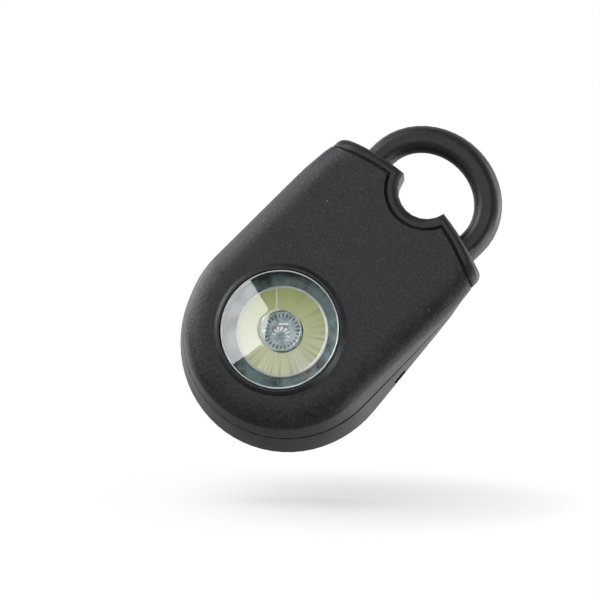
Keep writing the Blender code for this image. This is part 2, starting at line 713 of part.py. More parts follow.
def back_shell(parts, cutters, black):
    """Back shell with the sound holes, the piezo ledge, the carrier posts and the side slot."""
    parting = flank_ring(0.0, PARTING_DEPTH + PARTING_GAP / 2.0)
    shell = shell_blank("back_shell", [parting] + back_rings(0.0), cutters)
    ledge = ring("piezo ledge", 0.0, PIEZO_Z, PIEZO_RADIUS - FOAM_WALL, PIEZO_RADIUS, LEDGE_FRONT, BLANK_BACK)
    behind = box("behind the back wall", (-PIEZO_RADIUS - WALL, 0.0, -2.0 * PIEZO_RADIUS),
                 (PIEZO_RADIUS + WALL, BLANK_BACK, 2.0 * PIEZO_RADIUS))
    behind.location = (0.0, inner_back(PIEZO_Z) + WALL / 2.0 + BLANK_BACK / 2.0, PIEZO_Z)
    behind.rotation_euler = (math.atan(BACK_SLOPE), 0.0, 0.0)
    boolean(ledge, "DIFFERENCE", [behind], cutters)
    joined = [ledge]
    for degrees, x, z in carrier_post_places():
        joined.append(rod(f"back carrier post {degrees:.0f}", x, z, CARRIER_BACK + FIT,
                          inner_back(z) + WALL / 2.0, CARRIER_POST_DIAMETER))
    joined.append(rod("back contact post", 0.0, CONTACT_PAD_MIDDLE, POSITIVE_FRONT + CONTACT_THICK + FIT,
                      inner_back(CONTACT_PAD_MIDDLE) + WALL / 2.0, CARRIER_POST_DIAMETER))
    boolean(shell, "UNION", joined, cutters)
    holes = []
    for radius, count in zip(SOUND_RING_RADII, SOUND_RING_COUNTS):
        for i in range(count):
            angle = math.tau * i / count
            x = radius * math.cos(angle)
            z = PIEZO_Z + radius * math.sin(angle)
            holes.append(rod(f"sound hole {radius / MM:.1f} {i}", x, z, inner_back(z) - WALL, BLANK_BACK,
                             SOUND_HOLE, TINY_TURN_STEPS))
    slot_z = LENS_Z + SLOT_HEIGHT
    side = FRONT_ARC - 2.0 * WALL
    slot = box("side slot", (side, SLOT_DEPTH - SLOT_WIDTH / 2.0, slot_z - SLOT_LENGTH / 2.0),
               (side + BACK_ARC, SLOT_DEPTH + SLOT_WIDTH / 2.0, slot_z + SLOT_LENGTH / 2.0))
    boolean(shell, "DIFFERENCE", holes + [slot] + prong_holes("back"), cutters)
    return finish(shell, parts, black)


def pull_cap(parts, cutters, black, cap_axis):
    """Cap, loop and the two prongs, moulded in one piece."""
    cap = cap_band("pull_cap")
    boolean(cap, "UNION", [loop_mesh("loop")], cutters)
    prongs = []
    for side, label in ((-1.0, "left"), (1.0, "right")):
        prongs.append(upright_rod(f"{label} prong", side * PRONG_X, LOOP_DEPTH, PRONG_LOW,
                                  PRONG_TOP + SEAM_GAP, PRONG_DIAMETER))
    boolean(cap, "UNION", prongs, cutters)
    finish(cap, parts, black)
    cap.parent = cap_axis
    cap.matrix_parent_inverse = cap_axis.matrix_world.inverted()
    return cap


def light(parts, materials):
    """Lens, spacer ring, LED board and the LED built up on it."""
    front = -LENS_PROUD
    lens = turned("lens", 0.0, LENS_Z, [
        (0.0, front + LENS_DISH + LENS_PIT_DEPTH),
        (LENS_PIT_RADIUS - LENS_PIT_DEPTH / 2.0, front + LENS_DISH + LENS_PIT_DEPTH),
        (LENS_PIT_RADIUS, front + LENS_DISH),
        (LENS_RADIUS - LENS_CHAMFER, front),
        (LENS_RADIUS, front + LENS_CHAMFER),
        (LENS_RADIUS, FLANGE_FRONT),
        (FLANGE_RADIUS, FLANGE_FRONT),
        (FLANGE_RADIUS, LENS_BACK),
        (0.0, LENS_BACK)], closed=False, steps=64)
    finish(lens, parts, materials["clear"])
    spacer = ring("lens_spacer", 0.0, LENS_Z, FLANGE_RADIUS - SPACER_WALL, FLANGE_RADIUS,
                  SPACER_FRONT, SPACER_FRONT + SPACER_LENGTH)
    finish(spacer, parts, materials["dark"])
    disc = rod("led_board", 0.0, LENS_Z, LED_BOARD_FRONT, LED_BOARD_BACK, 2.0 * FLANGE_RADIUS, TURN_STEPS)
    finish(disc, parts, materials["teal"])
    dam_inner = DAM_RADIUS - DAM_WALL
    dam = ring("led_dam", 0.0, LENS_Z, dam_inner, DAM_RADIUS, LED_PARTS_BACK - DAM_HEIGHT, LED_PARTS_BACK)
    finish(dam, parts, materials["white"])
    phosphor = ring("led_phosphor", 0.0, LENS_Z, CUP_RADIUS + FIT, dam_inner - FIT,
                    LED_PARTS_BACK - PHOSPHOR_HEIGHT, LED_PARTS_BACK)
    finish(phosphor, parts, materials["phosphor"])
    cup_front = LED_PARTS_BACK - CUP_HEIGHT
    cup_floor = LED_PARTS_BACK - CUP_FLOOR
    cup = turned("led_cup", 0.0, LENS_Z, [
        (0.0, cup_floor), (DOME_RADIUS + FIT, cup_floor), (CUP_RADIUS - CUP_RIM, cup_front),
        (CUP_RADIUS, cup_front), (CUP_RADIUS, LED_PARTS_BACK), (0.0, LED_PARTS_BACK)],
        closed=False, steps=SMALL_TURN_STEPS)
    finish(cup, parts, materials["dark"])
    base = cup_floor - FIT
    height = base - LENS_BACK - FIT
    profile = []
    for i in range(ROUND_STEPS + 1):
        angle = math.pi / 2.0 * i / ROUND_STEPS
        profile.append((DOME_RADIUS * math.sin(angle), base - height * math.cos(angle)))
    profile.append((0.0, base))
    dome = turned("led_dome", 0.0, LENS_Z, profile, closed=False, steps=SMALL_TURN_STEPS)
    finish(dome, parts, materials["clear"])
    for side, label in ((-1.0, "left"), (1.0, "right")):
        pin = rod(f"led_pin_{label}", side * LED_PIN_HALF_SPACING, LENS_Z, LED_PIN_FRONT,
                  LED_PIN_FRONT + LED_PIN_LENGTH, LED_PIN_DIAMETER, TINY_TURN_STEPS)
        finish(pin, parts, materials["brass"])


def board_outline():
    """A disc cut straight across its top."""
    reach = math.asin(BOARD_TOP / BOARD_RADIUS)
    count = 2 * ARC_STEPS
    made = []
    for i in range(count + 1):
        angle = reach - (math.pi + 2.0 * reach) * i / count
        made.append((BOARD_RADIUS * math.cos(angle), LENS_Z + BOARD_RADIUS * math.sin(angle)))
    return made


def electronics(parts, cutters, materials):
    """Main board, its screws, the driver chip, the drum transformer and the capacitor."""
    holes = [circle(side * POST_HALF_SPACING, POST_Z, SCREW_SHANK / 2.0 + FIT) for side in (-1.0, 1.0)]
    board = flat_plate("main_board", [board_outline()] + holes, BOARD_FRONT, BOARD_BACK)
    finish(board, parts, materials["green"])
    head_back = ON_BOARD + SCREW_HEAD_HEIGHT
    for side, label in ((-1.0, "left"), (1.0, "right")):
        x = side * POST_HALF_SPACING
        tip = BOARD_BACK - SCREW_LENGTH + FIT
        screw = turned(f"board_screw_{label}", x, POST_Z, [
            (0.0, tip), (SCREW_SHANK / 2.0, tip + SCREW_SHANK / 2.0), (SCREW_SHANK / 2.0, ON_BOARD),
            (SCREW_HEAD / 2.0, ON_BOARD), (SCREW_HEAD / 2.0, head_back), (0.0, head_back)],
            closed=False, steps=SMALL_TURN_STEPS)
        slot = box(f"{label} screw slot", (x - SCREW_HEAD, head_back - SCREW_HEAD_HEIGHT / 2.0,
                                           POST_Z - SCREW_SLOT / 2.0),
                   (x + SCREW_HEAD, head_back + SCREW_HEAD_HEIGHT, POST_Z + SCREW_SLOT / 2.0))
        boolean(screw, "DIFFERENCE", [slot], cutters)
        finish(screw, parts, materials["steel"])
    chip_x, chip_z = CHIP_PLACE
    wide, thick, tall = CHIP_SIZE
    chip = box("driver_chip", (chip_x - wide / 2.0, ON_BOARD, LENS_Z + chip_z - tall / 2.0),
               (chip_x + wide / 2.0, ON_BOARD + thick, LENS_Z + chip_z + tall / 2.0))
    finish(chip, parts, materials["dark"], smooth=False)
    drum_x, drum_z = DRUM_PLACE
    drum_back = ON_BOARD + DRUM_HEIGHT
    drum = turned("drum_transformer", drum_x, LENS_Z + drum_z, [
        (0.0, ON_BOARD), (DRUM_RADIUS, ON_BOARD), (DRUM_RADIUS, ON_BOARD + DRUM_FLANGE),
        (DRUM_WAIST, ON_BOARD + DRUM_FLANGE), (DRUM_WAIST, drum_back - DRUM_FLANGE),
        (DRUM_RADIUS, drum_back - DRUM_FLANGE), (DRUM_RADIUS, drum_back), (0.0, drum_back)],
        closed=False, steps=SMALL_TURN_STEPS)
    finish(drum, parts, materials["copper"])
    can_x, can_z = CAN_PLACE
    can_back = ON_BOARD + CAN_HEIGHT
    neck = ON_BOARD + CAN_HEIGHT / 4.0
    can = turned("buffer_capacitor", can_x, LENS_Z + can_z, [
        (0.0, ON_BOARD), (CAN_RADIUS, ON_BOARD), (CAN_RADIUS, neck - CAN_NECK),
        (CAN_RADIUS - CAN_NECK, neck), (CAN_RADIUS, neck + CAN_NECK), (CAN_RADIUS, can_back - CAN_NECK),
        (CAN_RADIUS - CAN_NECK, can_back), (0.0, can_back)], closed=False, steps=SMALL_TURN_STEPS)
    finish(can, parts, materials["steel"])


def contact_outline(side):
    """Pad on the cell, arm to the side and tail down to the main board."""
    arm_low = CELL_Z - CONTACT_ARM_BELOW
    arm_high = arm_low + CONTACT_ARM_WIDTH
    pad = CONTACT_PAD_HALF
    reach = CONTACT_TAIL_REACH
    tail = reach - CONTACT_ARM_WIDTH
    pad_low = CELL_Z - CONTACT_PAD_BELOW
    pad_high = CELL_Z + CONTACT_PAD_ABOVE
    tail_low = LENS_Z + CONTACT_TAIL_LOW
    made = [(-pad, pad_low), (pad, pad_low), (pad, arm_low), (tail, arm_low), (tail, tail_low),
            (reach, tail_low), (reach, arm_high), (pad, arm_high), (pad, pad_high), (-pad, pad_high)]
    return [(side * x, z) for x, z in made]


def power(parts, materials):
    """Two coin cells in a carrier ring, with a contact and a lead on each side."""
    for label, front in (("front", CELL_FRONT), ("back", CELL_MIDDLE)):
        back = front + CELL_THICK
        soft = CELL_CAN_ROUND
        cell = turned(f"coin_cell_{label}", 0.0, CELL_Z, [
            (0.0, front), (CELL_RADIUS - soft, front), (CELL_RADIUS, front + soft),
            (CELL_RADIUS, back - soft), (CELL_RADIUS - soft, back), (0.0, back)], closed=False)
        finish(cell, parts, materials["steel"])
    carrier = ring("cell_carrier", 0.0, CELL_Z, CARRIER_INNER, CARRIER_OUTER, CELL_FRONT, CARRIER_BACK)
    finish(carrier, parts, materials["dark"])
    lead_x = CONTACT_TAIL_REACH - CONTACT_ARM_WIDTH / 2.0
    lead_z = LENS_Z + CONTACT_TAIL_LOW + LEAD_DIAMETER / 2.0
    negative_front = NEGATIVE_BACK - CONTACT_THICK
    plate = flat_plate("contact_negative", [contact_outline(1.0)], negative_front, NEGATIVE_BACK)
    finish(plate, parts, materials["brass"])
    lead = rod("lead_negative", lead_x, lead_z, NEGATIVE_BACK + FIT, BOARD_FRONT - FIT, LEAD_DIAMETER,
               TINY_TURN_STEPS)
    finish(lead, parts, materials["steel"])
    plate = flat_plate("contact_positive", [contact_outline(-1.0)], POSITIVE_FRONT,
                       POSITIVE_FRONT + CONTACT_THICK)
    finish(plate, parts, materials["brass"])
    lead = rod("lead_positive", -lead_x, lead_z, ON_BOARD, POSITIVE_FRONT - FIT, LEAD_DIAMETER,
               TINY_TURN_STEPS)
    finish(lead, parts, materials["steel"])


def trigger(parts, cutters, materials, plunger_axis):
    """Switch on the shelf and the plunger that the left prong holds down."""
    half = SWITCH_SIDE / 2.0
    body = box("trigger_switch", (-PRONG_X - half, LOOP_DEPTH - half, SWITCH_LOW),
               (-PRONG_X + half, LOOP_DEPTH + half, SWITCH_TOP))
    bore = upright_rod("switch bore", -PRONG_X, LOOP_DEPTH, PLUNGER_LOW - FIT, SWITCH_TOP + FIT,
                       PLUNGER_DIAMETER + 2.0 * FIT)
    boolean(body, "DIFFERENCE", [bore], cutters)
    finish(body, parts, materials["dark"], smooth=False)
    plunger = upright_rod("trigger_plunger", -PRONG_X, LOOP_DEPTH, PLUNGER_LOW, PLUNGER_TOP, PLUNGER_DIAMETER)
    finish(plunger, parts, materials["white"])
    plunger.parent = plunger_axis
    plunger.matrix_parent_inverse = plunger_axis.matrix_world.inverted()


def siren(parts, materials):
    """Brass plate with its ceramic in front and a foam ring behind."""
    plate = rod("piezo_plate", 0.0, PIEZO_Z, PIEZO_DEPTH, PIEZO_DEPTH + PIEZO_THICK, 2.0 * PIEZO_RADIUS,
                TURN_STEPS)
    finish(plate, parts, materials["brass"])
    back = PIEZO_DEPTH - FIT
    ceramic = rod("piezo_ceramic", 0.0, PIEZO_Z, back - CERAMIC_THICK, back, 2.0 * CERAMIC_RADIUS, TURN_STEPS)
    finish(ceramic, parts, materials["white"])
    foam = ring("piezo_foam", 0.0, PIEZO_Z, PIEZO_RADIUS - FOAM_WALL, PIEZO_RADIUS, FOAM_FRONT,
                FOAM_FRONT + FOAM_THICK)
    finish(foam, parts, materials["foam"])


def siren_wire(name, x, depth, end, fall):
    """A wire that lifts off the board, arches back to the siren and ends on it."""
    board = ON_BOARD + WIRE_DIAMETER / 2.0
    pad = LENS_Z + BOARD_TOP - WIRE_PAD_DROP
    return swept(name, [
        (x, board, pad), (x - SIREN_WIRE_BOW, board + WIRE_LIFT, pad + WIRE_ARCH),
        (x - SIREN_WIRE_BOW, depth, end + fall), (x, depth, end)], WIRE_DIAMETER)


def switch_wire(name, x):
    """A wire from the back of the switch, down over the board's edge and on to the board."""
    board = ON_BOARD + WIRE_DIAMETER / 2.0
    high = LENS_Z + BOARD_TOP
    back = LOOP_DEPTH + SWITCH_SIDE / 2.0 + FIT + WIRE_DIAMETER / 2.0
    middle = (SWITCH_LOW + SWITCH_TOP) / 2.0
    return swept(name, [
        (x, back, middle), (x, back + SWITCH_WIRE_BOW, middle - SWITCH_WIRE_FALL),
        (x, board + SWITCH_WIRE_BOW, high + WIRE_PAD_DROP), (x, board, high - WIRE_PAD_DROP)], WIRE_DIAMETER)


def wires(parts, materials):
    """Two wires to the siren and two to the switch."""
    clear = FIT + WIRE_DIAMETER / 2.0
    on_plate = PIEZO_DEPTH - clear
    on_ceramic = on_plate - FIT - CERAMIC_THICK
    edge = PIEZO_Z + CERAMIC_RADIUS
    red = siren_wire("siren_wire_red", RED_WIRE_X, on_ceramic, edge - RED_WIRE_INSET, RED_WIRE_FALL)
    finish(red, parts, materials["red"])
    black = siren_wire("siren_wire_black", BLACK_WIRE_X, on_plate, edge - BLACK_WIRE_INSET, BLACK_WIRE_FALL)
    finish(black, parts, materials["dark"])
    for label, offset in SWITCH_WIRE_OFFSETS.items():
        wire = switch_wire(f"switch_wire_{label}", -PRONG_X + offset)
        finish(wire, parts, materials["red" if label == "inner" else "dark"])


def axis_empty(name, place, group):
    empty = bpy.data.objects.new(name, None)
    empty.empty_display_size = AXIS_MARK
    empty.location = place
    group.objects.link(empty)
    return empty


def main():
    clear_scene()
    parts = new_collection("personal alarm")
    cutters = new_collection("cutters")
    black = plastic("matte black plastic", (0.030, 0.030, 0.032), 0.55)
    materials = {
        "clear": plastic("clear acrylic", (0.92, 0.97, 0.96), 0.05, transmission=1.0),
        "dark": plastic("dark plastic", (0.02, 0.02, 0.02), 0.5),
        "teal": plastic("dark teal solder mask", (0.02, 0.09, 0.09), 0.35),
        "green": plastic("green circuit board", (0.01, 0.12, 0.04), 0.4),
        "white": plastic("white plastic", (0.8, 0.8, 0.78), 0.5),
        "phosphor": plastic("yellow phosphor", (0.60, 0.62, 0.18), 0.6),
        "brass": plastic("brass", (0.75, 0.55, 0.22), 0.3, 1.0),
        "steel": plastic("steel", (0.6, 0.6, 0.6), 0.3, 1.0),
        "copper": plastic("copper winding", (0.55, 0.23, 0.10), 0.4, 1.0),
        "foam": plastic("grey foam", (0.12, 0.12, 0.13), 0.9),
        "red": plastic("red wire jacket", (0.5, 0.03, 0.02), 0.5),
    }
    cap_axis = axis_empty("pull axis", (0.0, LOOP_DEPTH, PRONG_LOW), parts)
    plunger_axis = axis_empty("plunger axis", (-PRONG_X, LOOP_DEPTH, PLUNGER_LOW), parts)
    bpy.context.view_layer.update()
    front_shell(parts, cutters, black)
    back_shell(parts, cutters, black)
    pull_cap(parts, cutters, black, cap_axis)
    light(parts, materials)
    electronics(parts, cutters, materials)
    power(parts, materials)
    trigger(parts, cutters, materials, plunger_axis)
    siren(parts, materials)
    wires(parts, materials)
    for item in parts.objects[:] + cutters.all_objects[:]:
        if item.parent is None:
            item.location.y -= MIDDLE_DEPTH


main()
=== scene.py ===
"""Looks of the pull-apart personal alarm: camera, light, materials and the finer pieces of its lens light."""
import math
from collections import namedtuple

import bmesh
import bpy
from mathutils import Matrix, Vector


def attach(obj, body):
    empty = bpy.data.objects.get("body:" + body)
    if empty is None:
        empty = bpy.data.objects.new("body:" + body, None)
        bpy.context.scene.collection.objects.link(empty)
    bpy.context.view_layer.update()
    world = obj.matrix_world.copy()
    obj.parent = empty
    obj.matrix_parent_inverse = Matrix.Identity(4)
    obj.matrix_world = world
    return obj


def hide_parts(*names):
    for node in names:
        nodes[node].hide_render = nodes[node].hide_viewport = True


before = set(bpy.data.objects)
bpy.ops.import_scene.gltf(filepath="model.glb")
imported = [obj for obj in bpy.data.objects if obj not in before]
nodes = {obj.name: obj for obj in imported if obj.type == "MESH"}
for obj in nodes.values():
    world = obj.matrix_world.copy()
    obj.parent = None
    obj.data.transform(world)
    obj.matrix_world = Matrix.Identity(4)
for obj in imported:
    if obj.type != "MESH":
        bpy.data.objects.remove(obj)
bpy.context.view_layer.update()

MM = 0.001

# Sizes and places as in the part's source; depths run back from the flat face
FIT = 0.3 * MM
MIDDLE_DEPTH = 9.114 * MM
FRONT_EDGE_SIDE = 5.8 * MM
FRONT_EDGE_DEPTH = 2.6 * MM
PARTING_DEPTH = 7.4 * MM
PARTING_GAP = 0.3 * MM
SEAM_ARC = 43.9 * MM
SEAM_APEX = 37.75 * MM
SEAM_GAP = 0.35 * MM
SCOOP_ARC = 8.25 * MM
SCOOP_CENTRE = 40.3 * MM
LENS_Z = 23.1 * MM
LENS_RADIUS = 11.8 * MM
LENS_PROUD = 0.8 * MM
LENS_PIT_RADIUS = 4.2 * MM
LENS_CHAMFER = 0.2 * MM
LENS_FLANGE = 1.4 * MM
FLANGE_FRONT = 2.1 * MM
LENS_BACK = 3.1 * MM
LED_PARTS_BACK = 4.6 * MM
DAM_RADIUS = 9.4 * MM
DAM_HEIGHT = 0.6 * MM
PHOSPHOR_HEIGHT = 0.5 * MM
CUP_RADIUS = 4.1 * MM
CUP_HEIGHT = 1.0 * MM
CUP_FLOOR = 0.4 * MM
CUP_RIM = 0.3 * MM
DOME_RADIUS = 1.5 * MM

# Finer forms of the lens and of the light behind it
LENS_SLOPE = math.radians(4.05)
LENS_SLOPE_GAIN = math.radians(0.6)
LENS_SLOPE_STEPS = 12
LENS_PIT_FLOOR = 0.5 * MM
LENS_PIT_WALL = 0.2 * MM
LENS_PIT_ROUND = 0.1 * MM
LENS_BACK_RISE = 0.22 * MM
LENS_BACK_FLAT = 5.0 * MM
RIM_SINK = 0.01 * MM
# Painted shade: a black ring in the gap round the lens
SHADE_RING_GAP = 0.02 * MM
SHADE_RING_REACH = 0.14 * MM
SHADE_RING_FRONT = -0.5 * MM
SHADE_RING_BACK = 0.6 * MM
BEAD_HALF_WIDTH = 0.07 * MM
BEAD_HALF_DEPTH = 0.05 * MM
DAM_WALL = 0.5 * MM
DAM_ROUND = 0.25 * MM
PHOSPHOR_GAP = 0.02 * MM
LED_ROUND = 0.08 * MM
ROUND_STEPS = 4
TURN_STEPS = 128
DOME_TURN_STEPS = 48
DOME_ARC_STEPS = 12

# Dark ribs in the seam under the cap and a dark band between the shells, as painted shade that fills these
# gaps
RIB_HALF_WIDTH = 19.8 * MM
RIB_FACE_HALF = 20.9 * MM
RIB_ROOT = 0.15 * MM
RIB_CLEAR = 0.06 * MM
RIB_STEPS = 24
BODY_RIB_DEPTHS = (0.7 * MM, 2.2 * MM)
CAP_RIB_DEPTHS = (2.3 * MM, 3.8 * MM)
SHADE_BAND_OUTER_INSET = 0.25 * MM
SHADE_BAND_INNER_INSET = 0.9 * MM
SHADE_BAND_PRESS = 0.03 * MM
OUTLINE_SETBACK = 0.02 * MM

# Clean-up, rounding and shading of meshes
WELD_REACH = 0.002 * MM
CUT_REACH = 0.001 * MM
SHARP_ANGLE = math.radians(30.0)
FLAT_ANGLE = math.radians(0.6)
EDGE_ANGLE = math.radians(42.0)
EDGE_SEGMENTS = 3
SHELL_EDGE = 0.18 * MM
CAP_EDGE = 0.4 * MM
NORMAL_WEIGHT = 60

# Camera, in the frame of the lens: turn about Z, tip about X, roll about the line of sight
VIEW_TURN = -0.2136
VIEW_TIP = 0.003
VIEW_ROLL = 0.8055
VIEW_DISTANCE = 0.5
FOCAL_PIXELS = 2525.0
IMAGE_SIZE = 600.0
LENS_PIXEL = (279.843, 329.546)
SENSOR_WIDTH = 36.0
NEAR_CLIP = 0.01
FAR_CLIP = 20.0

# Window panel: degrees right and up of the camera as seen from the lens, and metres from it
WINDOW_RIGHT = -9.69
WINDOW_UP = 16.07
WINDOW_DISTANCE = 2.0
WINDOW_WIDTH = 0.218
WINDOW_HEIGHT = 0.6
WINDOW_RADIANCE = 10.6
WINDOW_LEAN = math.radians(-12.0)

# Soft boxes a metre off: angle in the picture, degrees behind the object, radiance
SOFT_BOXES = ((120.0, -25.0, 3.3), (150.0, -25.0, 5.4), (150.0, 0.0, 8.0), (150.0, 25.0, 4.8),
              (180.0, 25.0, 2.9), (-25.0, -32.0, 5.5), (-30.0, -5.0, 4.5),
              (-34.0, 20.0, 3.6), (0.0, 18.0, 6.5), (30.0, 8.0, 4.0))
SOFT_BOX_SIZE = 0.5
LAMP_COLOUR = (0.96, 0.98, 1.0)

# Studio: its strength all round, and what the backdrop behind the object adds
STUDIO_DIM = 0.3
STUDIO_BACK = 0.45
BACKDROP_WHITE = 1.0

# Floor: its middle, as steps right, up and towards the camera from the lens, and the shadow on it
FLOOR_SPOT = (11.0 * MM, -34.5 * MM, -6.0 * MM)
FLOOR_TILT = math.radians(4.2)
FLOOR_HALF = 0.35
SHADOW_REACH = 0.045
SHADOW_LEAN = 0.9
SHADOW_SAMPLES = 24
SHADOW_SPAN = (0.45, 0.97)
SHADOW_DARK = 0.44

# Materials: the middle range of a noise, the turn of the pattern in the lens, black plastic, other surfaces
NOISE_SPAN = (0.3, 0.7)
MARK_TURN = 0.8055
BLACK_LEVEL = 0.011
BLACK_ROUGH = 0.42
BLACK_ROUGH_VARY = 0.05
GRAIN_SCALE = 2400.0
GRAIN_DEPTH = 0.085 * MM
DUST_RADIUS = 0.035
DUST_CHANCE = 0.86
PLAIN_GRAINS_PER_PATCH = 8.0
PLAIN_ROUGH_VARY = 0.15

# Mix node: the factor's socket, then two inputs and the output for each kind of data
MIX_FACTOR = 0
MIX_SOCKETS = {"FLOAT": (2, 3, 0), "RGBA": (6, 7, 2)}

# Directions of the picture
turn = Matrix.Rotation(VIEW_TURN, 3, "Z")
tip = Matrix.Rotation(VIEW_TIP, 3, "X")
roll = Matrix.Rotation(VIEW_ROLL, 3, "Y")
RIGHT, FORWARD, UP = (Vector(row) for row in roll @ tip @ turn)
UPPER_RIGHT = RIGHT * 0.5 + UP * 0.866
LENS_CENTRE = Vector((0.0, -MIDDLE_DEPTH, LENS_Z))

# Directions that the backdrop lies in, each with the cosines between which it fades in
BACKDROP = ((FORWARD, (0.1, 0.7)), (UPPER_RIGHT, (-0.52, -0.15)))


# Camera


def in_view(right, up, towards):
    """A point near the lens, in the directions of the picture and towards the camera."""
    return LENS_CENTRE + RIGHT * right + UP * up - FORWARD * towards


def make_camera():
    """The camera, with the middle of the lens at its pixel."""
    scale = VIEW_DISTANCE / FOCAL_PIXELS
    middle = IMAGE_SIZE / 2.0
    across = (middle - LENS_PIXEL[0]) * scale
    high = (LENS_PIXEL[1] - middle) * scale
    data = bpy.data.cameras.new("camera")
    data.sensor_width = SENSOR_WIDTH
    data.lens = FOCAL_PIXELS / IMAGE_SIZE * SENSOR_WIDTH
    data.clip_start = NEAR_CLIP
    data.clip_end = FAR_CLIP
    camera = bpy.data.objects.new("camera", data)
    bpy.context.scene.collection.objects.link(camera)
    facing = Matrix((RIGHT, UP, -FORWARD)).transposed().to_4x4()
    camera.matrix_world = Matrix.Translation(in_view(across, high, VIEW_DISTANCE)) @ facing
    bpy.context.scene.camera = camera


# Shader nodes


class NodeTree:
    """The nodes of a material or a world, with short calls that add and join them."""

    def __init__(self, owner):
        owner.use_nodes = True
        self.owner = owner
        self.tree = owner.node_tree

    def add(self, kind, inputs=None, **settings):
        """A new node; each input is a socket to join or a value to set."""
        made = self.tree.nodes.new(kind)
        for key, value in settings.items():
            setattr(made, key, value)
        for key, value in (inputs or {}).items():
            self.join(value, made.inputs[key])
        return made

    def join(self, value, socket):
        if isinstance(value, bpy.types.NodeSocket):
            self.tree.links.new(value, socket)
        else:
            socket.default_value = value

    def calc(self, operation, *values):
        return self.add("ShaderNodeMath", dict(enumerate(values)), operation=operation).outputs[0]

    def spread(self, value, between, to=(0.0, 1.0), step="LINEAR"):
        """A value moved from one range to another, and held within it."""
        made = self.add("ShaderNodeMapRange", {"Value": value, "From Min": between[0], "From Max": between[1],
                                               "To Min": to[0], "To Max": to[1]}, interpolation_type=step)
        return made.outputs["Result"]

    def mix(self, share, one, two, kind="RGBA"):
        """One colour or number turned into another by a share."""
        first, second, result = MIX_SOCKETS[kind]
        made = self.add("ShaderNodeMix", {MIX_FACTOR: share, first: one, second: two}, data_type=kind)
        return made.outputs[result]


class Surface(NodeTree):
    """A material with its Principled shader, and patterns that lie in the object's own space."""

    def __init__(self, name):
        super().__init__(bpy.data.materials.new(name))
        self.shader = self.tree.nodes["Principled BSDF"]
        self.place = self.add("ShaderNodeTexCoord").outputs["Object"]

    def shade(self, **values):
        """Shader sockets by name, with underscores for spaces."""
        for key, value in values.items():
            self.join(value, self.shader.inputs[key.replace("_", " ")])

    def noise(self, scale, detail=2.0, rough=0.5, place=None):
        made = self.add("ShaderNodeTexNoise", {"Vector": place or self.place, "Scale": scale,
                                               "Detail": detail, "Roughness": rough})
        return made.outputs["Fac"]

    def cells(self, scale):
        """Scattered cells: the distance from a cell's middle, and two random numbers that it has."""
        made = self.add("ShaderNodeTexVoronoi", {"Vector": self.place, "Scale": scale})
        chance = self.add("ShaderNodeSeparateColor", {"Color": made.outputs["Color"]})
        return made.outputs["Distance"], chance.outputs["Red"], chance.outputs["Green"]

    def bump(self, height, strength, distance):
        made = self.add("ShaderNodeBump", {"Height": height, "Strength": strength, "Distance": distance})
        self.join(made.outputs["Normal"], self.shader.inputs["Normal"])


# Patterns round the lens

LensPlace = namedtuple("LensPlace", "radius across up angle")


def slant(made, one, two):
    """The length of a slant, from its two sides at right angles."""
    squares = made.calc("ADD", made.calc("MULTIPLY", one, one), made.calc("MULTIPLY", two, two))
    return made.calc("SQRT", squares)


def around_lens(made):
    """Places round the lens: distance from its axis, across and up along its moulding mark, and the angle."""
    split = made.add("ShaderNodeSeparateXYZ", {"Vector": made.place})
    x = split.outputs["X"]
    z = made.calc("SUBTRACT", split.outputs["Z"], LENS_Z)
    side, rise = math.cos(MARK_TURN), math.sin(MARK_TURN)
    across = made.calc("ADD", made.calc("MULTIPLY", x, side), made.calc("MULTIPLY", z, rise))
    up = made.calc("SUBTRACT", made.calc("MULTIPLY", z, side), made.calc("MULTIPLY", x, rise))
    return LensPlace(slant(made, across, up), across, up, made.calc("ARCTAN2", up, across))


def streaks(made, angle, scale):
    """Noise that runs along the radius."""
    ray = made.add("ShaderNodeCombineXYZ", {"X": made.calc("COSINE", angle), "Y": made.calc("SINE", angle)})
    return made.noise(scale, detail=4.0, rough=0.6, place=ray.outputs["Vector"])


def band(made, value, middle, half, soft):
    """1 within half of the middle, falling to 0 over the soft width."""
    away = made.calc("ABSOLUTE", made.calc("SUBTRACT", value, middle))
    return made.spread(away, (half, half + soft), (1.0, 0.0))


# Materials


def colour(red, green, blue):
    return (red, green, blue, 1.0)


def black_tone(times, blue_times):
    """The black plastic's colour made lighter or darker."""
    return colour(BLACK_LEVEL * times, BLACK_LEVEL * times, BLACK_LEVEL * blue_times)


def moulded_black(name, coarse):
    """Spark-textured black plastic with faint flow marks, a little dust, painted shade in the grain's pits
    and painted sparkle highlights on its peaks.
    """
    made = Surface(name)
    patches = made.noise(scale=130.0, detail=3.0)
    body = made.mix(made.spread(patches, (0.35, 0.65)), black_tone(0.8, 0.84), black_tone(1.2, 1.25))
    # Painted shade: the grain's low spots are darkened
    painted_pit_shade = made.spread(made.noise(GRAIN_SCALE, detail=1.0), (0.35, 0.5), (0.75 * coarse, 0.0))
    body = made.mix(painted_pit_shade, body, black_tone(0.1, 0.1))
    # Painted highlight: bright specks stand for the sparkle on the grain
    painted_peak_sparkle = made.spread(made.noise(scale=2100.0, detail=1.0), (0.56, 0.68), (0.0, 0.7 * coarse))
    body = made.mix(painted_peak_sparkle, body, black_tone(3.0, 3.1))
    distance, chance, _ = made.cells(scale=330.0)
    speck = made.calc("LESS_THAN", distance, DUST_RADIUS)
    dust = made.calc("MULTIPLY", speck, made.calc("GREATER_THAN", chance, DUST_CHANCE))
    made.shade(Base_Color=made.mix(dust, body, colour(0.35, 0.35, 0.35)),
               Roughness=made.spread(patches, NOISE_SPAN,
                                     (BLACK_ROUGH - BLACK_ROUGH_VARY, BLACK_ROUGH + BLACK_ROUGH_VARY)),
               Specular_IOR_Level=0.35)
    made.bump(made.noise(GRAIN_SCALE, rough=0.6), strength=1.0, distance=GRAIN_DEPTH * coarse)
    return made.owner


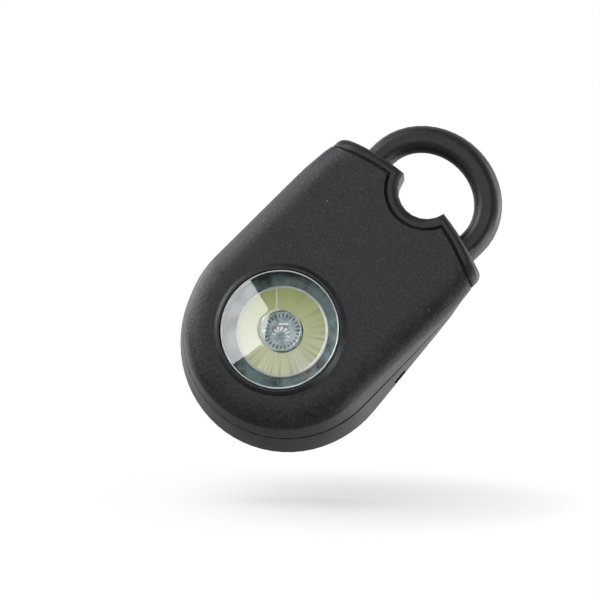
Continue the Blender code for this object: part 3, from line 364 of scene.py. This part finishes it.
def plain(name, base, rough, metal=0.0, grain=900.0, depth=0.01 * MM, vary=0.2):
    """A surface with slight colour and gloss variation and a fine grain."""
    made = Surface(name)
    patches = made.noise(grain / PLAIN_GRAINS_PER_PATCH, detail=3.0)
    darker = colour(*(share * (1.0 - vary) for share in base))
    lighter = colour(*(min(1.0, share * (1.0 + vary)) for share in base))
    smoother, rougher = rough * (1.0 - PLAIN_ROUGH_VARY), min(1.0, rough * (1.0 + PLAIN_ROUGH_VARY))
    made.shade(Base_Color=made.mix(made.spread(patches, NOISE_SPAN), darker, lighter),
               Roughness=made.spread(patches, NOISE_SPAN, (smoother, rougher)), Metallic=metal)
    made.bump(made.noise(grain, detail=3.0), strength=0.3, distance=depth)
    return made.owner


def clear_acrylic():
    """Clear lens plastic with faint rays in its tint."""
    made = Surface("clear acrylic")
    rays = streaks(made, around_lens(made).angle, scale=16.0)
    tint = made.mix(made.spread(rays, NOISE_SPAN), colour(0.94, 0.98, 0.97), colour(0.98, 0.99, 0.99))
    smears = made.spread(made.noise(scale=300.0, detail=3.0), (0.4, 0.8), (0.0, 0.01))
    made.shade(Base_Color=tint, Roughness=smears, Transmission_Weight=1.0, IOR=1.49)
    return made.owner


def phosphor():
    """Yellow-green ring with fine rays and the lens's moulding mark on it; painted shade and light make it
    olive above and pale below, with a painted highlight in one sector and a painted glow.
    """
    made = Surface("yellow phosphor")
    at = around_lens(made)
    rays = streaks(made, at.angle, scale=11.0)
    painted_shade_olive, painted_light_cream = colour(0.52, 0.56, 0.20), colour(1.0, 0.96, 0.66)
    # Painted shade and light: olive above, pale below
    tone = made.mix(made.spread(at.up, (8.0 * MM, -8.0 * MM)), painted_shade_olive, painted_light_cream)
    outwards = made.spread(at.radius, (5.0 * MM, 8.5 * MM), (0.2, 1.0))
    dark_rays = made.calc("MULTIPLY", made.spread(rays, (0.45, 0.7), (0.0, 0.7)), outwards)
    tone = made.mix(dark_rays, tone, colour(0.34, 0.37, 0.10))
    mark = made.calc("MULTIPLY", band(made, at.across, middle=-1.2 * MM, half=0.08 * MM, soft=0.12 * MM),
                     made.spread(made.noise(scale=160.0), (0.3, 0.6), (0.4, 1.0)))
    tone = made.mix(mark, tone, colour(0.95, 0.97, 0.90))
    # Painted highlight: a pale patch in one sector of the ring
    painted_highlight = made.calc("MULTIPLY", band(made, at.angle, middle=-1.05, half=0.12, soft=0.25), 0.5)
    tone = made.mix(painted_highlight, tone, colour(0.95, 0.90, 0.80))
    # Painted glow: the ring gives out its own colour as light, though it is no lamp
    made.shade(Base_Color=tone, Roughness=made.spread(rays, NOISE_SPAN, (0.45, 0.65)),
               Emission_Color=tone, Emission_Strength=0.12)
    made.bump(made.noise(scale=2500.0), strength=0.3, distance=0.02 * MM)
    return made.owner


def ring_white():
    """White ring with a faint painted glow on its right side, given out as light though the ring is no lamp.
    """
    made = Surface("white ring plastic")
    patches = made.noise(scale=300.0, detail=3.0)
    tone = made.mix(made.spread(patches, NOISE_SPAN), colour(0.82, 0.84, 0.80), colour(0.92, 0.93, 0.90))
    # Painted glow: only the right side gives out light
    right_side = band(made, around_lens(made).angle, middle=-0.25, half=0.5, soft=0.5)
    lit = made.mix(right_side, colour(0.0, 0.0, 0.0), tone)
    made.shade(Base_Color=tone, Roughness=made.spread(patches, NOISE_SPAN, (0.4, 0.5)),
               Emission_Color=lit, Emission_Strength=0.35)
    return made.owner


def led_core():
    """The dark cup and the die: a small crown and bar of painted pale pink glints, which are painted
    reflections, on a smoky teal ground, all with a painted glow.
    """
    made = Surface("light core")
    at = around_lens(made)
    patches = made.noise(scale=700.0, detail=3.0)
    tone = made.mix(made.spread(patches, (0.35, 0.65)), colour(0.17, 0.23, 0.24), colour(0.40, 0.48, 0.50))
    spokes = made.calc("SINE", made.calc("MULTIPLY", at.angle, 26.0))
    fins = made.calc("MULTIPLY", band(made, at.radius, middle=3.3 * MM, half=0.35 * MM, soft=0.1 * MM),
                     made.spread(spokes, (0.1, 0.6), (0.0, 0.85)))
    tone = made.mix(fins, tone, colour(0.02, 0.03, 0.03))
    # Painted glints: a crown of pale pink reflections round the die, and a bar above it
    die_across = made.calc("ADD", at.across, 0.3 * MM)
    die_up = made.calc("ADD", at.up, 0.9 * MM)
    die_angle = made.calc("ARCTAN2", die_up, die_across)
    wander = made.calc("MULTIPLY", made.noise(scale=900.0), 5.0)
    teeth = made.calc("SINE", made.calc("ADD", made.calc("MULTIPLY", die_angle, 13.0), wander))
    die_ring = band(made, slant(made, die_across, die_up), middle=1.45 * MM, half=0.4 * MM, soft=0.12 * MM)
    painted_glint_crown = made.calc("MULTIPLY", die_ring, made.spread(teeth, (0.05, 0.45)))
    painted_glint_crown = made.calc("MULTIPLY", painted_glint_crown, band(made, die_angle, middle=1.5, half=1.9, soft=0.3))
    painted_glint_bar = made.calc("MULTIPLY", band(made, at.up, middle=1.55 * MM, half=0.14 * MM, soft=0.1 * MM),
                    band(made, at.across, middle=0.2 * MM, half=0.9 * MM, soft=0.2 * MM))
    tone = made.mix(made.calc("MAXIMUM", painted_glint_crown, painted_glint_bar), tone, colour(1.0, 0.86, 0.82))
    # Painted glow: the core gives out its own colour as light
    made.shade(Base_Color=tone, Roughness=made.spread(patches, NOISE_SPAN, (0.2, 0.35)),
               Emission_Color=tone, Emission_Strength=0.4)
    made.bump(made.calc("ADD", painted_glint_crown, fins), strength=0.4, distance=0.05 * MM)
    return made.owner


def teal_board():
    """Mottled dark teal solder mask with bare pads and near-white tinned dots, which also serve as painted
    sparkle highlights.
    """
    made = Surface("dark teal solder mask")
    patches = made.noise(scale=260.0, detail=4.0)
    tone = made.mix(made.spread(patches, (0.38, 0.62)), colour(0.01, 0.045, 0.045), colour(0.24, 0.38, 0.38))
    distance, pad_chance, dot_chance = made.cells(scale=420.0)
    pads = made.calc("MULTIPLY", made.calc("GREATER_THAN", pad_chance, 0.8),
                     made.spread(distance, (0.42, 0.34)))
    tone = made.mix(made.calc("MULTIPLY", pads, 0.7), tone, colour(0.30, 0.24, 0.22))
    # Tinned dots painted near-white, which also serve as painted sparkle highlights
    solder_and_sparkle_dots = made.calc("MULTIPLY", made.calc("GREATER_THAN", dot_chance, 0.86),
                     made.spread(distance, (0.2, 0.13)))
    tone = made.mix(solder_and_sparkle_dots, tone, colour(0.95, 0.95, 0.92))
    made.shade(Base_Color=tone, Roughness=made.spread(patches, NOISE_SPAN, (0.25, 0.4)))
    made.bump(pads, strength=0.3, distance=0.05 * MM)
    return made.owner


# Pieces


def place_mesh(name, bm, body, material, stands_for=()):
    """A new piece from a mesh drawn with the face at y = 0, put on its body."""
    bmesh.ops.recalc_face_normals(bm, faces=bm.faces[:])
    bmesh.ops.translate(bm, vec=(0.0, -MIDDLE_DEPTH, 0.0), verts=bm.verts)
    mesh = bpy.data.meshes.new(name)
    bm.to_mesh(mesh)
    bm.free()
    mesh.materials.append(material)
    mesh.shade_smooth()
    mesh.set_sharp_from_angle(angle=SHARP_ANGLE)
    item = bpy.data.objects.new(name, mesh)
    bpy.context.scene.collection.objects.link(item)
    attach(item, body)
    if stands_for:
        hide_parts(*stands_for)


def turned(profile, closed=True, steps=TURN_STEPS):
    """A mesh turned round the lens axis from (radius, depth) points."""
    bm = bmesh.new()
    knots = [bm.verts.new((radius, depth, 0.0)) for radius, depth in profile]
    edges = [bm.edges.new(pair) for pair in zip(knots, knots[1:])]
    if closed:
        edges.append(bm.edges.new((knots[-1], knots[0])))
    bmesh.ops.spin(bm, geom=knots + edges, cent=(0.0, 0.0, 0.0), axis=(0.0, 1.0, 0.0), angle=math.tau,
                   steps=steps, use_merge=True, use_duplicate=False)
    bmesh.ops.remove_doubles(bm, verts=bm.verts, dist=WELD_REACH)
    bmesh.ops.translate(bm, vec=(0.0, 0.0, LENS_Z), verts=bm.verts)
    return bm


def rounded(corners, size):
    """A profile with its inner corners rounded off."""
    made = [corners[0]]
    for before, here, after in zip(corners, corners[1:], corners[2:]):
        start, knot, end = (Vector(point) for point in (before, here, after))
        reach = min(size, (start - knot).length / 2.0, (end - knot).length / 2.0)
        one = knot + (start - knot).normalized() * reach
        two = knot + (end - knot).normalized() * reach
        for i in range(ROUND_STEPS + 1):
            share = i / ROUND_STEPS
            made.append(tuple(one * (1 - share) ** 2 + knot * 2 * share * (1 - share) + two * share ** 2))
    made.append(corners[-1])
    return made


def dish(radius):
    """Depth of the lens's shallow dish at a distance from its axis."""
    edge = LENS_RADIUS - LENS_CHAMFER
    middle = (radius + edge) / 2.0
    return -LENS_PROUD + (edge - radius) * math.tan(LENS_SLOPE + LENS_SLOPE_GAIN * middle / LENS_RADIUS)


def lens_pieces(clear, frosted, shadow):
    """The dished lens, the frosted lines on its edge and round its pit, and a black ring about it as painted
    shade in the gap.
    """
    front = -LENS_PROUD
    edge = LENS_RADIUS - LENS_CHAMFER
    flange = LENS_RADIUS + LENS_FLANGE
    back = LENS_BACK + LENS_BACK_RISE
    lip = dish(LENS_PIT_RADIUS)
    slope = [LENS_PIT_RADIUS + (edge - LENS_PIT_RADIUS) * i / LENS_SLOPE_STEPS
             for i in range(1, LENS_SLOPE_STEPS)]
    outline = rounded([(0.0, LENS_PIT_FLOOR), (LENS_PIT_RADIUS - LENS_PIT_WALL, LENS_PIT_FLOOR),
                       (LENS_PIT_RADIUS, lip), (slope[0], dish(slope[0]))], LENS_PIT_ROUND)
    outline += [(radius, dish(radius)) for radius in slope[1:]]
    outline += [(edge, front), (LENS_RADIUS, front + LENS_CHAMFER), (LENS_RADIUS, FLANGE_FRONT),
                (flange, FLANGE_FRONT), (flange, LENS_BACK), (LENS_BACK_FLAT, back), (0.0, back)]
    place_mesh("lens_optic", turned(outline, closed=False), "housing", clear, ["lens"])
    rim = [(edge, front + RIM_SINK), (LENS_RADIUS, front + RIM_SINK), (LENS_RADIUS, front + LENS_CHAMFER)]
    place_mesh("lens_rim", turned(rim), "housing", frosted)
    # Painted shade: a black ring fills the gap round the lens
    inner, outer = LENS_RADIUS + SHADE_RING_GAP, LENS_RADIUS + SHADE_RING_REACH
    shade_ring = [(inner, SHADE_RING_FRONT), (outer, SHADE_RING_FRONT), (outer, SHADE_RING_BACK), (inner, SHADE_RING_BACK)]
    place_mesh("lens_shade_ring", turned(shade_ring), "housing", shadow)
    bead = [(LENS_PIT_RADIUS - BEAD_HALF_WIDTH, lip), (LENS_PIT_RADIUS, lip - BEAD_HALF_DEPTH),
            (LENS_PIT_RADIUS + BEAD_HALF_WIDTH, lip), (LENS_PIT_RADIUS, lip + BEAD_HALF_DEPTH)]
    place_mesh("pit_rim", turned(bead), "housing", frosted)


def led_pieces(dam, glow, core):
    """The rings, the cup and the dome on the board behind the lens."""
    foot = LED_PARTS_BACK
    dam_inner = DAM_RADIUS - DAM_WALL
    dam_front = foot - DAM_HEIGHT
    ring = [(dam_inner, foot), (dam_inner, dam_front), (DAM_RADIUS, dam_front), (DAM_RADIUS, foot)]
    place_mesh("white_ring", turned(rounded(ring, DAM_ROUND)), "housing", dam, ["led_dam"])
    inner, outer = CUP_RADIUS + FIT, dam_inner - PHOSPHOR_GAP
    front = foot - PHOSPHOR_HEIGHT
    disc = [(inner, foot), (inner, front), (outer, front), (outer, foot)]
    place_mesh("phosphor_ring", turned(rounded(disc, LED_ROUND)), "housing", glow,
               ["led_phosphor"])
    cup_front = foot - CUP_HEIGHT
    cup_floor = foot - CUP_FLOOR
    cup = rounded([(0.0, cup_floor), (DOME_RADIUS + FIT, cup_floor), (CUP_RADIUS - CUP_RIM, cup_front),
                   (CUP_RADIUS, cup_front), (CUP_RADIUS, foot), (0.0, foot)], LED_ROUND)
    place_mesh("reflector_cup", turned(cup, closed=False), "housing", core, ["led_cup"])
    base = cup_floor - FIT
    height = base - LENS_BACK - FIT
    angles = [math.pi / 2.0 * i / DOME_ARC_STEPS for i in range(DOME_ARC_STEPS + 1)]
    dome = [(DOME_RADIUS * math.sin(angle), base - height * math.cos(angle)) for angle in angles]
    dome.append((0.0, base))
    place_mesh("clear_dome", turned(dome, closed=False, steps=DOME_TURN_STEPS), "housing", core,
               ["led_dome"])


def seam_line(lift):
    """The seam at a lift over the body's edge, as (x, height over the lens) points from left to right."""
    centre = SEAM_APEX - SEAM_ARC
    arch = SEAM_ARC + lift
    scoop = SCOOP_ARC - lift
    apart = SCOOP_CENTRE - centre
    up = (arch ** 2 - scoop ** 2 + apart ** 2) / (2.0 * apart)
    corner = math.sqrt(arch ** 2 - up ** 2)
    drop = math.atan2(up - apart, corner)
    side = [RIB_HALF_WIDTH + (corner - RIB_HALF_WIDTH) * i / RIB_STEPS for i in range(RIB_STEPS)]
    flank = [(x, centre + math.sqrt(arch ** 2 - x ** 2)) for x in side]
    turns = [math.pi - drop + (math.pi + 2.0 * drop) * i / RIB_STEPS for i in range(RIB_STEPS + 1)]
    dip = [(scoop * math.cos(angle), SCOOP_CENTRE + scoop * math.sin(angle)) for angle in turns]
    return [(-x, z) for x, z in flank] + dip + flank[::-1]


def face_fall(x):
    """How far the face's rounded edge falls back at a place across it."""
    share = max(0.0, 1.0 - (RIB_FACE_HALF - abs(x)) / FRONT_EDGE_SIDE)
    return FRONT_EDGE_DEPTH * (1.0 - math.sqrt(1.0 - share ** 2))


def seam_shade_rib(name, body, lifts, depths, material):
    """A thin black rib in the seam under the cap, between two lifts over the body's edge and two depths;
    painted shade that fills the seam.
    """
    low, high = lifts
    near, far = depths
    bm = bmesh.new()
    rows = []
    for lift, depth in ((low, near), (high, near), (high, far), (low, far)):
        rows.append([bm.verts.new((x, depth + face_fall(x), LENS_Z + z)) for x, z in seam_line(lift)])
    for one, two in zip(rows, rows[1:] + rows[:1]):
        for i in range(len(one) - 1):
            bm.faces.new((one[i], one[i + 1], two[i + 1], two[i]))
    for end in (0, -1):
        bm.faces.new([row[end] for row in rows])
    place_mesh(name, bm, body, material)


def shell_outline(depth):
    """The front shell's outer outline at a depth, as (x, z) points that run clockwise."""
    shell = nodes["front_shell"]
    bm = bmesh.new()
    bm.from_mesh(shell.data)
    bm.transform(shell.matrix_world)
    bmesh.ops.remove_doubles(bm, verts=bm.verts, dist=WELD_REACH)
    cut = bmesh.ops.bisect_plane(bm, geom=bm.verts[:] + bm.edges[:] + bm.faces[:], dist=CUT_REACH,
                                 plane_co=(0.0, depth - MIDDLE_DEPTH, 0.0), plane_no=(0.0, 1.0, 0.0),
                                 clear_inner=True, clear_outer=True)["geom_cut"]
    neighbours = {}
    for edge in (item for item in cut if isinstance(item, bmesh.types.BMEdge)):
        one, two = edge.verts
        neighbours.setdefault(one, []).append(two)
        neighbours.setdefault(two, []).append(one)
    first = here = max(neighbours, key=lambda knot: knot.co.x)
    before = None
    made = []
    while here is not None and (here is not first or not made):
        made.append((here.co.x, here.co.z))
        before, here = here, next((knot for knot in neighbours[here] if knot is not before), None)
    bm.free()
    area = sum(a[0] * b[1] - b[0] * a[1] for a, b in zip(made, made[1:] + made[:1]))
    return made if area < 0.0 else made[::-1]


def inset(outline, by):
    """A closed clockwise outline moved inwards."""
    moved = []
    for before, here, after in zip(outline[-1:] + outline[:-1], outline, outline[1:] + outline[:1]):
        along = (Vector(after) - Vector(before)).normalized()
        moved.append((here[0] + along.y * by, here[1] - along.x * by))
    return moved


def parting_shade_band(material):
    """A thin black band in the gap between the shells, just inside their outer faces; painted shade that
    fills the gap.
    """
    shell_end = PARTING_DEPTH - PARTING_GAP / 2.0
    outline = shell_outline(shell_end - OUTLINE_SETBACK)
    front = shell_end - SHADE_BAND_PRESS
    back = shell_end + PARTING_GAP + SHADE_BAND_PRESS
    bm = bmesh.new()
    rows = []
    for by, depth in ((SHADE_BAND_OUTER_INSET, front), (SHADE_BAND_OUTER_INSET, back),
                      (SHADE_BAND_INNER_INSET, back), (SHADE_BAND_INNER_INSET, front)):
        rows.append([bm.verts.new((x, depth, z)) for x, z in inset(outline, by)])
    for one, two in zip(rows, rows[1:] + rows[:1]):
        for i in range(len(one)):
            bm.faces.new((one[i - 1], one[i], two[i], two[i - 1]))
    place_mesh("parting_shade_band", bm, "housing", material)


def smooth_node(name, width):
    """A CAD node with rounded edges and even shading; its own mesh stays as it is."""
    item = nodes[name]
    bpy.context.view_layer.objects.active = item
    bpy.ops.mesh.customdata_custom_splitnormals_clear()
    item.data.shade_smooth()
    weld = item.modifiers.new("weld", "WELD")
    weld.merge_threshold = WELD_REACH
    flat = item.modifiers.new("flat faces", "DECIMATE")
    flat.decimate_type = "DISSOLVE"
    flat.angle_limit = FLAT_ANGLE
    edge = item.modifiers.new("edges", "BEVEL")
    edge.width = width
    edge.segments = EDGE_SEGMENTS
    edge.limit_method = "ANGLE"
    edge.angle_limit = EDGE_ANGLE
    even = item.modifiers.new("shading", "WEIGHTED_NORMAL")
    even.mode = "FACE_AREA"
    even.weight = NORMAL_WEIGHT
    even.keep_sharp = True


# Light and floor


def panel(name, spot, width, height, radiance, lean=0.0):
    """A soft box that faces the lens; radiance 1 is white."""
    data = bpy.data.lights.new(name, "AREA")
    data.shape = "RECTANGLE"
    data.size = width
    data.size_y = height
    data.energy = radiance * math.pi * width * height
    data.color = LAMP_COLOUR
    lamp = bpy.data.objects.new(name, data)
    bpy.context.scene.collection.objects.link(lamp)
    away = (spot - LENS_CENTRE).normalized()
    side = (RIGHT - away * RIGHT.dot(away)).normalized()
    upright = away.cross(side)
    facing = Matrix((side, upright, away)).transposed() @ Matrix.Rotation(lean, 3, "Z")
    lamp.matrix_world = Matrix.Translation(spot) @ facing.to_4x4()
    lamp.visible_camera = False


def make_lamps():
    """The window that shows in the lens, and the soft boxes round the object."""
    across = RIGHT * math.tan(math.radians(WINDOW_RIGHT))
    high = UP * math.tan(math.radians(WINDOW_UP))
    toward = (across + high - FORWARD).normalized()
    panel("window", LENS_CENTRE + toward * WINDOW_DISTANCE, WINDOW_WIDTH, WINDOW_HEIGHT, WINDOW_RADIANCE,
          WINDOW_LEAN)
    for number, (degrees, degrees_behind, radiance) in enumerate(SOFT_BOXES, 1):
        angle, behind = math.radians(degrees), math.radians(degrees_behind)
        in_picture = RIGHT * math.cos(angle) + UP * math.sin(angle)
        away = in_picture * math.cos(behind) + FORWARD * math.sin(behind)
        panel(f"soft box {number}", LENS_CENTRE + away, SOFT_BOX_SIZE, SOFT_BOX_SIZE, radiance)


def make_world():
    """A white backdrop, also in reflections and through the lens; dim on the viewer's side."""
    world = bpy.data.worlds.new("studio")
    bpy.context.scene.world = world
    made = NodeTree(world)
    made.tree.nodes.clear()
    place = made.add("ShaderNodeTexCoord").outputs["Generated"]
    ray = made.add("ShaderNodeLightPath").outputs
    shares = []
    for direction, fade in BACKDROP:
        facing = made.add("ShaderNodeVectorMath", {0: place, 1: direction}, operation="DOT_PRODUCT")
        shares.append(made.spread(facing.outputs["Value"], fade, step="SMOOTHSTEP"))
    behind = made.calc("MULTIPLY", *shares)
    level = made.calc("MULTIPLY_ADD", behind, STUDIO_BACK, STUDIO_DIM)
    mirrored = made.calc("MAXIMUM", ray["Is Glossy Ray"], ray["Is Transmission Ray"])
    shown = made.calc("MAXIMUM", ray["Is Camera Ray"], made.calc("MULTIPLY", mirrored, behind))
    strength = made.mix(shown, level, BACKDROP_WHITE, "FLOAT")
    light = made.add("ShaderNodeBackground", {"Color": colour(1.0, 1.0, 1.0), "Strength": strength})
    made.add("ShaderNodeOutputWorld", {"Surface": light.outputs[0]})


def floor_material(normal):
    """White to the camera, darker near the object, clear from below and to all other rays."""
    made = NodeTree(bpy.data.materials.new("pale floor"))
    made.tree.nodes.clear()
    leaned = made.add("ShaderNodeCombineXYZ", dict(zip("XYZ", (normal - RIGHT * SHADOW_LEAN).normalized())))
    near = made.add("ShaderNodeAmbientOcclusion", {"Distance": SHADOW_REACH, "Normal": leaned.outputs[0]},
                    samples=SHADOW_SAMPLES)
    strength = made.spread(near.outputs["AO"], SHADOW_SPAN, (SHADOW_DARK, BACKDROP_WHITE))
    pale = made.add("ShaderNodeEmission", {"Strength": strength}).outputs[0]
    gone = made.add("ShaderNodeBsdfTransparent").outputs[0]
    seen = made.add("ShaderNodeLightPath").outputs["Is Camera Ray"]
    under = made.add("ShaderNodeNewGeometry").outputs["Backfacing"]
    by_ray = made.add("ShaderNodeMixShader", {0: seen, 1: gone, 2: pale}).outputs[0]
    by_side = made.add("ShaderNodeMixShader", {0: under, 1: by_ray, 2: gone}).outputs[0]
    made.add("ShaderNodeOutputMaterial", {"Surface": by_side})
    return made.owner


def make_floor():
    """A pale floor under the hovering object, level in the picture and seen from just above."""
    normal = (UP * math.cos(FLOOR_TILT) - FORWARD * math.sin(FLOOR_TILT)).normalized()
    deep = (FORWARD * math.cos(FLOOR_TILT) + UP * math.sin(FLOOR_TILT)).normalized()
    middle = in_view(*FLOOR_SPOT)
    corners = [middle + RIGHT * across * FLOOR_HALF + deep * back * FLOOR_HALF
               for across, back in ((-1, -1), (1, -1), (1, 1), (-1, 1))]
    mesh = bpy.data.meshes.new("floor")
    mesh.from_pydata(corners, [], [(0, 1, 2, 3)])
    mesh.update()
    mesh.materials.append(floor_material(normal))
    floor = bpy.data.objects.new("floor", mesh)
    bpy.context.scene.collection.objects.link(floor)


# The scene

make_camera()
make_world()
make_floor()
make_lamps()

dark = plain("dark plastic", (0.02, 0.02, 0.021), rough=0.45)
white = plain("white plastic", (0.88, 0.89, 0.86), rough=0.45, vary=0.05)
brass = plain("brass", (0.75, 0.55, 0.22), rough=0.3, metal=1.0, grain=1500.0)
steel = plain("plated steel", (0.6, 0.6, 0.6), rough=0.3, metal=1.0, grain=1500.0)
copper = plain("copper winding", (0.55, 0.23, 0.10), rough=0.4, metal=1.0, grain=3000.0)
green = plain("green circuit board", (0.01, 0.12, 0.04), rough=0.35)
ceramic = plain("white ceramic", (0.82, 0.82, 0.80), rough=0.4, vary=0.05)
foam = plain("grey foam", (0.12, 0.12, 0.13), rough=0.9, grain=4000.0, depth=0.08 * MM)
red = plain("red wire jacket", (0.5, 0.03, 0.02), rough=0.4)
frosted = plain("frosted acrylic edge", (0.45, 0.47, 0.47), rough=0.8, vary=0.05)
# Painted shade: the black of the fillers in the gaps round the lens, under the cap and between the shells
gap_shade_black = plain("black gap shade", (0.004, 0.004, 0.004), rough=0.9)

FINISHES = {
    moulded_black("matte black plastic", coarse=0.9): ["front_shell", "back_shell"],
    moulded_black("smooth black plastic", coarse=0.35): ["pull_cap"],
    dark: ["driver_chip", "cell_carrier", "trigger_switch", "siren_wire_black", "switch_wire_outer",
           "lens_spacer"],
    white: ["trigger_plunger"],
    ceramic: ["piezo_ceramic"],
    brass: ["led_pin_left", "led_pin_right", "contact_negative", "contact_positive", "piezo_plate"],
    steel: ["board_screw_left", "board_screw_right", "buffer_capacitor", "coin_cell_front", "coin_cell_back",
            "lead_negative", "lead_positive"],
    copper: ["drum_transformer"],
    green: ["main_board"],
    teal_board(): ["led_board"],
    foam: ["piezo_foam"],
    red: ["siren_wire_red", "switch_wire_inner"],
}
for material, names in FINISHES.items():
    for name in names:
        nodes[name].data.materials.clear()
        nodes[name].data.materials.append(material)

smooth_node("front_shell", SHELL_EDGE)
smooth_node("back_shell", SHELL_EDGE)
smooth_node("pull_cap", CAP_EDGE)
lens_pieces(clear_acrylic(), frosted, gap_shade_black)
led_pieces(ring_white(), phosphor(), led_core())
# Painted shade: black ribs fill the seam under the cap
seam_shade_rib("seam_shade_rib", "housing", (-RIB_ROOT, SEAM_GAP - RIB_CLEAR), BODY_RIB_DEPTHS, gap_shade_black)
seam_shade_rib("cap_shade_rib", "cap", (RIB_CLEAR, SEAM_GAP + RIB_ROOT), CAP_RIB_DEPTHS, gap_shade_black)
# Painted shade: a black band fills the gap between the shells
parting_shade_band(gap_shade_black)

bpy.context.scene.view_settings.view_transform = "Standard"
